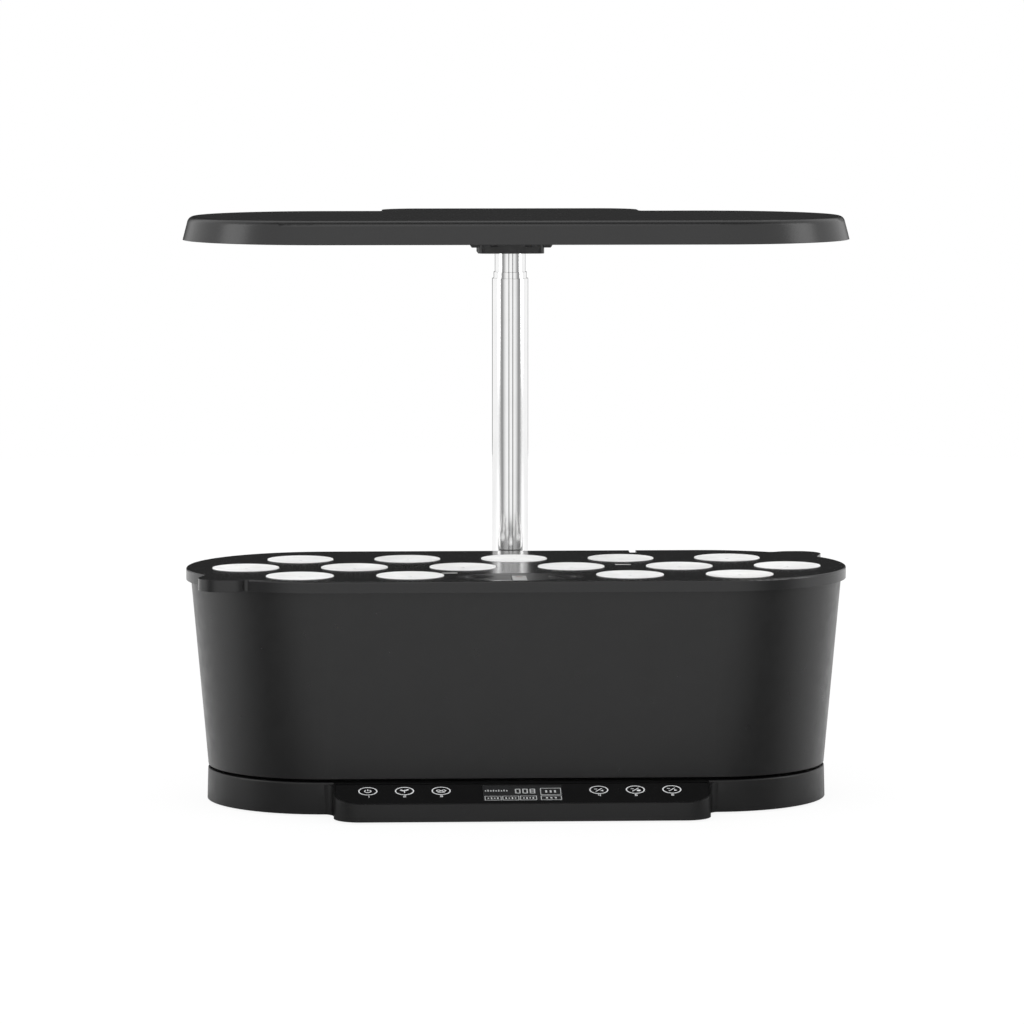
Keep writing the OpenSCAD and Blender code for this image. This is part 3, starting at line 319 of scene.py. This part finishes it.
figure_w, figure_h, figure_line = 2.7 * mm, 6.2 * mm, 0.8 * mm
figure_pitch = 4.7 * mm
figures_x, figures_y = -3.0 * mm, 2.7 * mm
mark_pitch = 1.7 * mm
marks_x, marks_y = -23.6 * mm, 3.4 * mm
field_line = 0.45 * mm
field_w, field_pitch = 10.2 * mm, 11.3 * mm
fields_x = -24.2 * mm
field_mark_x, field_mark_y, field_mark_pitch = 2.1 * mm, -8 * mm, 2 * mm
low_row = (-10.9 * mm, -4.9 * mm)
high_row = (-3.0 * mm, 7.0 * mm)
side_left, side_right = 11.6 * mm, 24.4 * mm
side_mark_x, side_mark_pitch = 15.2 * mm, 2.8 * mm
bm = bmesh.new()
for k, figure in enumerate("008"):
    digit(bm, lcd_face, figures_x + k * figure_pitch, figures_y, figure, figure_w, figure_h, figure_line)
# to their left a row of marks, each second one taller
for k in range(9):
    taller = k % 2 * mm
    bar(bm, lcd_face, marks_x + k * mark_pitch, marks_y + 0.3 * taller, 0.8 * mm, 1.8 * mm + 0.8 * taller)
# below them three framed fields, each with four marks
for k in range(3):
    left = fields_x + k * field_pitch
    frame_of_bars(bm, lcd_face, left, left + field_w, *low_row, field_line)
    for m in range(4):
        x = left + field_mark_x + m * field_mark_pitch
        bar(bm, lcd_face, x, field_mark_y, 0.9 * mm, (1.6 + (m + k) % 2) * mm)
# to their right two framed fields, each with three marks
for low, high in (high_row, low_row):
    frame_of_bars(bm, lcd_face, side_left, side_right, low, high, field_line)
    for m in range(3):
        x = side_mark_x + m * side_mark_pitch
        bar(bm, lcd_face, x, (low + high) / 2, 1.2 * mm, 0.35 * (high - low))
piece("display_segments", bm, segment_grey, "base", smooth=False)


# ---------------------------------------------------------------- inside the base
# Two circuit boards with green solder mask lie on the casing's bosses. At the back are two round
# sockets of shiny black plastic, for the power supply and for the pump's lead.
board_green = plastic("board_green", (0.02, 0.13, 0.055), 0.32, grain=1.2 * mm, depth=0.02 * mm,
                      edge=0.1 * mm)
dress(board_green, "main_board", "key_board")
socket_black = plastic("socket_black", (0.018, 0.018, 0.018), 0.3, edge=0.2 * mm)
dress(socket_black, "dc_inlet", "pump_socket")


# ---------------------------------------------------------------- mast
# Three polished tubes that slide in one another, drawn steel with fine lines along their length
# and a key groove down the front. A screwed collar holds the lowest in the base.
def polished_tube(name, tint):
    """Polished steel with fine lines along its length, and painted shade along the two edges of its groove.
    """
    made, tree = material(name)
    place = Wire.new(tree, "ShaderNodeTexCoord", {}, {}, "Object")
    across, along = 1 / line_w, 1 / line_l
    drawn = Wire.new(tree, "ShaderNodeMapping", {}, {"Vector": place, "Scale": (across, across, along)})
    lines = Wire.new(tree, "ShaderNodeTexNoise", {}, {"Vector": drawn, "Scale": 1.0, "Detail": 3.0})
    rough = spread_over(lines, 0, 1, 0.05, 0.16)
    soft_edge = Wire.new(tree, "ShaderNodeBevel", {"samples": 6}, {"Radius": tube_edge})
    bump = Wire.new(tree, "ShaderNodeBump", {}, {"Strength": 1.0, "Distance": line_depth, "Height": lines,
                                                 "Normal": soft_edge})
    paint = mixed(tree, varied(tree, 20 * mm, 0.0, 1.0), grey(tint * 0.95), grey(tint))
    # painted shade: the colour darkens towards grey along the groove's two edges on the front, as if they
    # lay in shade
    spot = Wire.new(tree, "ShaderNodeSeparateXYZ", {}, {0: place})
    from_edge = spot.math("ABSOLUTE", spot.math("ABSOLUTE", spot) - groove_w / 2)
    groove_shade = spread_over(from_edge, 0.15 * mm, 0.5 * mm, 1.0, 0.0)
    at_front = spread_over(spot.output("Y"), mast_y - mm, mast_y, 1.0, 0.0)
    paint = mixed(tree, groove_shade * at_front, paint, grey(groove_shade_tint))
    finish_paint(tree, Wire.new(tree, "ShaderNodeBsdfPrincipled", {}, {
        "Base Color": paint, "Metallic": 1.0, "Roughness": rough, "Normal": bump}))
    return made


tube_low, tube_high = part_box("outer_tube")
mast_y = (tube_low.y + tube_high.y) / 2
tube_edge = 0.4 * mm
groove_w = 2.6 * mm
# grey of the painted shade along the groove's edges
groove_shade_tint = 0.29
line_w, line_l, line_depth = mm / 2.6, mm / 0.014, 0.0012 * mm
mast_steel = polished_tube("mast_steel", 0.92)
dress(mast_steel, "outer_tube", "middle_tube", "inner_tube")
guide_white = plastic("guide_white", (0.72, 0.72, 0.68), 0.4)
dress(guide_white, "middle_guide", "inner_guide")
bracket_black = plastic("bracket_black", (0.005, 0.005, 0.0052), 0.34, edge=0.6 * mm)
dress(bracket_black, "mast_socket", "lamp_bracket")


# ---------------------------------------------------------------- lamp
# A flat moulded housing with a bulge behind for the driver, closed from below by a cover that
# frames a frosted diffuser. Over it sits a white aluminium board with small yellow LEDs.
lamp_black = plastic("lamp_black", (0.005, 0.005, 0.0052), 0.26, spread=0.015, grain=0.7 * mm,
                     depth=0.010 * mm, edge=0.8 * mm)
dress(lamp_black, "lamp_housing", "lamp_cover")
led_panel_white = plastic("led_panel_white", (0.82, 0.83, 0.83), 0.35)
dress(led_panel_white, "led_board")
dress(board_green, "driver_board")
led_yellow = plastic("led_yellow", (0.85, 0.62, 0.16), 0.3, grain=0.3 * mm, edge=0.2 * mm)
dress(led_yellow, "leds")
frost_alpha = 0.22


def frosted(name, tint):
    """Frosted clear plastic: partly see-through, partly white, with a fine pebble."""
    made, tree = material(name)
    pebble = Wire.new(tree, "ShaderNodeBump", {}, {"Strength": 1.0, "Distance": 0.03 * mm,
                                                   "Height": varied(tree, 0.9 * mm, 0.0, 1.0, 2.0)})
    finish_paint(tree, Wire.new(tree, "ShaderNodeBsdfPrincipled", {}, {
        "Base Color": grey(tint), "Roughness": varied(tree, 6 * mm, 0.4, 0.5), "Alpha": frost_alpha,
        "Normal": pebble}))
    return made


dress(frosted("diffuser_frost", 0.86), "diffuser")


# ---------------------------------------------------------------- tank
# The water tank, one deep moulding of black plastic with a fine satin grain. It stands on the
# base on a plinth, which leaves a dark gap all round.
tank_black = plastic("tank_black", (0.0045, 0.0045, 0.0047), 0.32, grain=0.7 * mm, depth=0.012 * mm,
                     specular=0.42)
dress(tank_black, "tank")


# ---------------------------------------------------------------- pump
# A small submersible pump: a black housing with a press-on cover, a white magnet rotor on a
# ceramic pin, and a slip of open foam behind the grille.
pump_black = plastic("pump_black", (0.022, 0.022, 0.022), 0.5)
dress(pump_black, "pump_body", "pump_cover", "pump_gland")
dress(guide_white, "impeller")
dress(plastic("shaft_ceramic", (0.78, 0.76, 0.70), 0.2), "impeller_shaft")
filter_foam = plastic("filter_foam", (0.03, 0.03, 0.03), 0.9, grain=0.8 * mm, depth=0.5 * mm, specular=0.2)
dress(filter_foam, "pump_filter")


# ---------------------------------------------------------------- deck
# A high-gloss black cover over the tank with a rim that overlaps it and two finger tabs. Two of
# its four stake slots have white liners. The oval cover of the fill port is satin.
deck_gloss = plastic("deck_gloss", (0.005, 0.005, 0.0053), 0.24, spread=0.01, grain=6 * mm,
                     depth=0.002 * mm, edge=0.35 * mm)
dress(deck_gloss, "deck")
cover_satin = plastic("cover_satin", (0.005, 0.005, 0.0053), 0.42, spread=0.02, grain=2 * mm,
                      depth=0.003 * mm, edge=0.9 * mm)
dress(cover_satin, "fill_cover")
dress(plastic("liner_white", (0.62, 0.62, 0.61), 0.3, grain=0.6 * mm, depth=0.002 * mm), "slot_liners")
dress(plastic("plate_grey", (0.33, 0.33, 0.325), 0.4, grain=0.6 * mm, depth=0.002 * mm), "level_plate")


# ---------------------------------------------------------------- float
# A white foam float on a red pin, whose end shows in the level plate of the fill cover. It rises
# with the water in a black cage that hangs from the deck.
dress(plastic("float_foam", (0.74, 0.74, 0.72), 0.6, grain=0.8 * mm, depth=0.05 * mm), "level_float")
dress(plastic("pin_red", (0.12, 0.03, 0.025), 0.35), "float_pin")
dress(pump_black, "float_guide")


# ---------------------------------------------------------------- pods
# Each pod is a white lid, slightly dished with a small hole, on a black basket that holds a
# round sponge. The basket has upright windows so that the roots reach the water.
pod_count = 15
lid_t = 1.5 * mm
lid_dish = 0.9 * mm
lid_edge = 0.25 * mm
lid_hole = 1.4 * mm
lid_rim = 1.2 * mm
lid_steps = 96
dish_steps, dish_curve = 8, 2.2
collar_h = 1.6 * mm
collar_t = 1.4 * mm
collar_gap = 0.3 * mm
basket_wall = 1.1 * mm
basket_t = 0.9 * mm
basket_high_r = 18.55 * mm
basket_low_r = 14.0 * mm
basket_h = 52 * mm
flange_drop = 0.5 * mm
bands = [0.0, 0.12, 0.2, 0.35, 0.5, 0.65, 0.8, 0.9, 1.0]
foot_hole_r = 5 * mm
window_ribs = 12
window_top, window_foot = 0.22, 0.88
rib_share = 0.25
sponge_h = basket_h - 11 * mm
sponge_edge = 1.5 * mm
sponge_steps = 40
sponge_hole_r, sponge_hole_h = 1.8 * mm, 14 * mm
lid_white = plastic("lid_white", (0.90, 0.90, 0.895), 0.5, grain=0.6 * mm, depth=0.0012 * mm, edge=0.2 * mm,
                    specular=0.15)
basket_black = plastic("basket_black", (0.02, 0.02, 0.02), 0.5)
sponge_brown = plastic("sponge_brown", (0.11, 0.06, 0.03), 0.95, spread=0.03, grain=1.6 * mm, depth=0.9 * mm,
                       specular=0.2)


def spun(bm, profile, steps, closed):
    """Spins an outline of (radius, height) points all the way round Z."""
    verts = [bm.verts.new((r, 0, z)) for r, z in profile]
    following = verts[1:] + (verts[:1] if closed else [])
    edges = [bm.edges.new(pair) for pair in zip(verts, following)]
    bmesh.ops.spin(bm, geom=verts + edges, cent=(0, 0, 0), axis=(0, 0, 1), angle=2 * math.pi, steps=steps,
                   use_merge=True)
    bmesh.ops.remove_doubles(bm, verts=bm.verts, dist=0.001 * mm)


def arc(cx, cz, radius, start, end, count):
    """Points of a profile's round corner, from one angle to another in degrees."""
    turns = [math.radians(start + (end - start) * k / count) for k in range(count + 1)]
    return [(cx + radius * math.cos(turn), cz + radius * math.sin(turn)) for turn in turns]


for number in range(1, pod_count + 1):
    node = f"pod_{number}"
    low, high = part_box(node)
    centre = Vector(((low.x + high.x) / 2, (low.y + high.y) / 2, high.z))
    at_pod = Matrix.Translation(centre)
    lid_r = (high.x - low.x) / 2
    body = node + "_body"

    bm = bmesh.new()
    dish_r = lid_r - lid_rim
    dish = [(lid_hole + (dish_r - lid_hole) * k / dish_steps,
             -lid_dish * (1 - (k / dish_steps) ** dish_curve)) for k in range(dish_steps + 1)]
    rounded = arc(lid_r - lid_edge, -lid_edge, lid_edge, 90, 0, 6)
    collar_r = basket_high_r - basket_wall - collar_gap
    under = [(lid_r, -lid_t), (collar_r, -lid_t), (collar_r, -lid_t - collar_h),
             (collar_r - collar_t, -lid_t - collar_h), (collar_r - collar_t, -lid_t), (lid_hole, -lid_t)]
    spun(bm, dish + rounded + under, lid_steps, closed=True)
    bmesh.ops.transform(bm, matrix=at_pod, verts=bm.verts)
    lid = piece(f"pod_lid_{number}", bm, lid_white, body)
    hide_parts(node)

    bm = bmesh.new()
    top = -lid_t - 0.05 * mm
    flange_z = top - flange_drop
    wall = [(lid_r - 0.5 * mm, flange_z), (basket_high_r + 0.5 * mm, flange_z)]
    wall += [(basket_high_r - 0.55 * mm + (basket_low_r - basket_high_r) * h,
              flange_z - (basket_h - 1.2 * mm) * h) for h in bands]
    wall += [(foot_hole_r, flange_z - (basket_h - 1.2 * mm))]
    spun(bm, wall, window_ribs * 4, closed=False)
    upper, lower = top - window_top * basket_h, top - window_foot * basket_h
    windows = []
    for face in bm.faces:
        middle = face.calc_center_median()
        turn = math.atan2(middle.y, middle.x) / (2 * math.pi) * window_ribs
        if lower < middle.z < upper and turn % 1 > rib_share:
            windows.append(face)
    bmesh.ops.delete(bm, geom=windows, context="FACES")
    bmesh.ops.recalc_face_normals(bm, faces=bm.faces)
    bmesh.ops.solidify(bm, geom=bm.faces[:] + bm.edges[:] + bm.verts[:], thickness=basket_t)
    bmesh.ops.transform(bm, matrix=at_pod, verts=bm.verts)
    basket = piece(f"pod_basket_{number}", bm, basket_black, body)
    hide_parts(node)

    bm = bmesh.new()
    foot = -lid_t - basket_h + 1.6 * mm
    crown = foot + sponge_h
    sponge_low = basket_low_r - basket_wall - 0.6 * mm
    sponge_high = sponge_low + 2 * mm
    shape = [(0, foot)] + arc(sponge_low - sponge_edge, foot + sponge_edge, sponge_edge, -90, 0, 4)
    shape += arc(sponge_high - sponge_edge, crown - sponge_edge, sponge_edge, 0, 90, 4)
    shape += [(sponge_hole_r + 0.4 * mm, crown), (sponge_hole_r, crown - sponge_hole_h),
              (0, crown - sponge_hole_h)]
    spun(bm, shape, sponge_steps, closed=False)
    bmesh.ops.transform(bm, matrix=at_pod, verts=bm.verts)
    sponge = piece(f"pod_sponge_{number}", bm, sponge_brown, body)
    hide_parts(node)


# ---------------------------------------------------------------- white studio
# A white room for a black, shiny object. The background is white. White walls light the round
# ends, grey flags stand at the front corners and black ones low behind, so that the mast shows
# dark bands and the deck stays black. The floor is white and keeps a soft shadow.
def step(value, low, high):
    """0 below low, 1 above high, smooth between."""
    return spread_over(value, low, high, how="SMOOTHSTEP")


def front_flags(frontness):
    """1 where the two flags stand, 55 degrees to each side of the front, fading over 30 degrees."""
    return step(frontness, -0.04, 0.57) * (1 - step(frontness, 0.57, 0.92))


wall_level = 1.0
diffuse_level = 1.15
flag_level = 0.3
rear_level = 0.04
front_sky = 1.2
crown_level = 0.25
# where each starts and ends, as the height of a direction: 0 at the horizon, 1 overhead
flag_top = (0.20, 0.30)
sky_foot = (0.20, 0.35)
crown_foot = (0.70, 0.80)
rear_top = (0.50, 0.75)
world = bpy.data.worlds.new("studio")
bpy.context.scene.world = world
world.use_nodes = True
tree = world.node_tree
tree.nodes.clear()
direction = Wire.new(tree, "ShaderNodeSeparateXYZ", {},
                     {0: Wire.new(tree, "ShaderNodeTexCoord", {}, {}, "Generated")})
to_right, to_back, to_top = direction, direction.output("Y"), direction.output("Z")
# 1 straight towards the user, 0 at the sides, -1 straight behind
frontness = 0 - to_back / direction.math("SQRT", to_right * to_right + to_back * to_back)
front_half = 1 - step(to_back, -0.05, 0.05)
flags = front_flags(frontness) * (1 - step(to_top, *flag_top))
level = wall_level - (wall_level - flag_level) * flags
level = level + (front_sky - wall_level) * step(to_top, *sky_foot) * front_half
level = level - step(to_top, *crown_foot) * front_half * (front_sky - crown_level)
behind = (1 - front_half) * (1 - step(frontness, -0.97, -0.85)) * (1 - step(to_top, *rear_top))
level = level - behind * (wall_level - rear_level)
camera_ray = Wire.new(tree, "ShaderNodeLightPath", {}, {}, "Is Camera Ray")
diffuse_ray = camera_ray.output("Is Diffuse Ray")
level = level * (1 - diffuse_ray) + diffuse_ray * diffuse_level
level = level * (1 - camera_ray) + camera_ray
sky = Wire.new(tree, "ShaderNodeBackground", {}, {"Color": grey(1), "Strength": level})
Wire.new(tree, "ShaderNodeOutputWorld", {}, {"Surface": sky})

floor_radius = 2.6
floor_shade_share = 0.12
floor_grey = 0.8
bm = bmesh.new()
bmesh.ops.create_circle(bm, cap_ends=True, segments=96, radius=floor_radius)
floor_mesh = bpy.data.meshes.new("floor")
bm.to_mesh(floor_mesh)
bm.free()
floor = bpy.data.objects.new("floor", floor_mesh)
bpy.context.scene.collection.objects.link(floor)
floor_paint, tree = material("floor_paint")
path = Wire.new(tree, "ShaderNodeLightPath", {}, {}, "Is Camera Ray")
seen = 1 - (1 - path) * (1 - path.output("Is Transmission Ray"))
spot = Wire.new(tree, "ShaderNodeSeparateXYZ", {},
                {0: Wire.new(tree, "ShaderNodeTexCoord", {}, {}, "Object")})
spot_back = spot.output("Y")
spot_front = 0 - spot_back / spot.math("SQRT", spot * spot + spot_back * spot_back)
flagged = path.output("Is Glossy Ray") * front_flags(spot_front)
flag_share = wall_level - flag_level
paper = Wire.new(tree, "ShaderNodeBsdfDiffuse", {}, {"Color": grey(floor_grey)})
for share, level in ((flagged, floor_grey * (1 - flag_share)), (seen, 1.0)):
    sheet = Wire.new(tree, "ShaderNodeBsdfDiffuse", {}, {"Color": grey(level)})
    paper = Wire.new(tree, "ShaderNodeMixShader", {}, {0: share, 1: paper, 2: sheet})
white = Wire.new(tree, "ShaderNodeEmission", {}, {"Color": grey(1), "Strength": 1.0})
finish_paint(tree, Wire.new(tree, "ShaderNodeMixShader", {},
                            {0: seen * (1 - floor_shade_share), 1: paper, 2: white}))
floor_mesh.materials.append(floor_paint)


def softbox(name, place, aim, width, depth, watts):
    """A square area light that looks at a point and doesn't show itself."""
    data = bpy.data.lights.new(name, "AREA")
    data.shape = "RECTANGLE"
    data.size = width
    data.size_y = depth
    data.energy = watts
    lamp = bpy.data.objects.new(name, data)
    lamp.location = place
    lamp.rotation_euler = (Vector(aim) - Vector(place)).to_track_quat("-Z", "Y").to_euler()
    lamp.visible_camera = False
    bpy.context.scene.collection.objects.link(lamp)


softbox("key_box", (-0.5, -1.6, 2.2), (0, 0, 0.2), 1.6, 1.2, 6)
softbox("left_box", (-2.0, -0.3, 0.8), (0, 0, 0.2), 0.8, 1.4, 7)
softbox("right_box", (2.0, -0.3, 0.8), (0, 0, 0.2), 0.8, 1.4, 7)


# ---------------------------------------------------------------- camera
# The photograph was taken from far off with a long lens, a little above the deck and a little to
# the left of the middle. The camera looks at a point on the mast.
look_at = Vector((-2.98, 0, 187.6)) * mm
camera_distance = 3158.3 * mm
camera_left = math.radians(2.309)
camera_up = math.radians(5.65)
lens_mm = 169.78
away = Vector((-math.sin(camera_left) * math.cos(camera_up),
               -math.cos(camera_left) * math.cos(camera_up),
               math.sin(camera_up)))
camera_data = bpy.data.cameras.new("camera")
camera_data.lens = lens_mm
camera_data.sensor_width = 36
camera_data.clip_end = 50
camera = bpy.data.objects.new("camera", camera_data)
camera.location = look_at + away * camera_distance
camera.rotation_euler = (-away).to_track_quat("-Z", "Y").to_euler()
bpy.context.scene.collection.objects.link(camera)
bpy.context.scene.camera = camera
bpy.context.scene.view_settings.view_transform = "Standard"
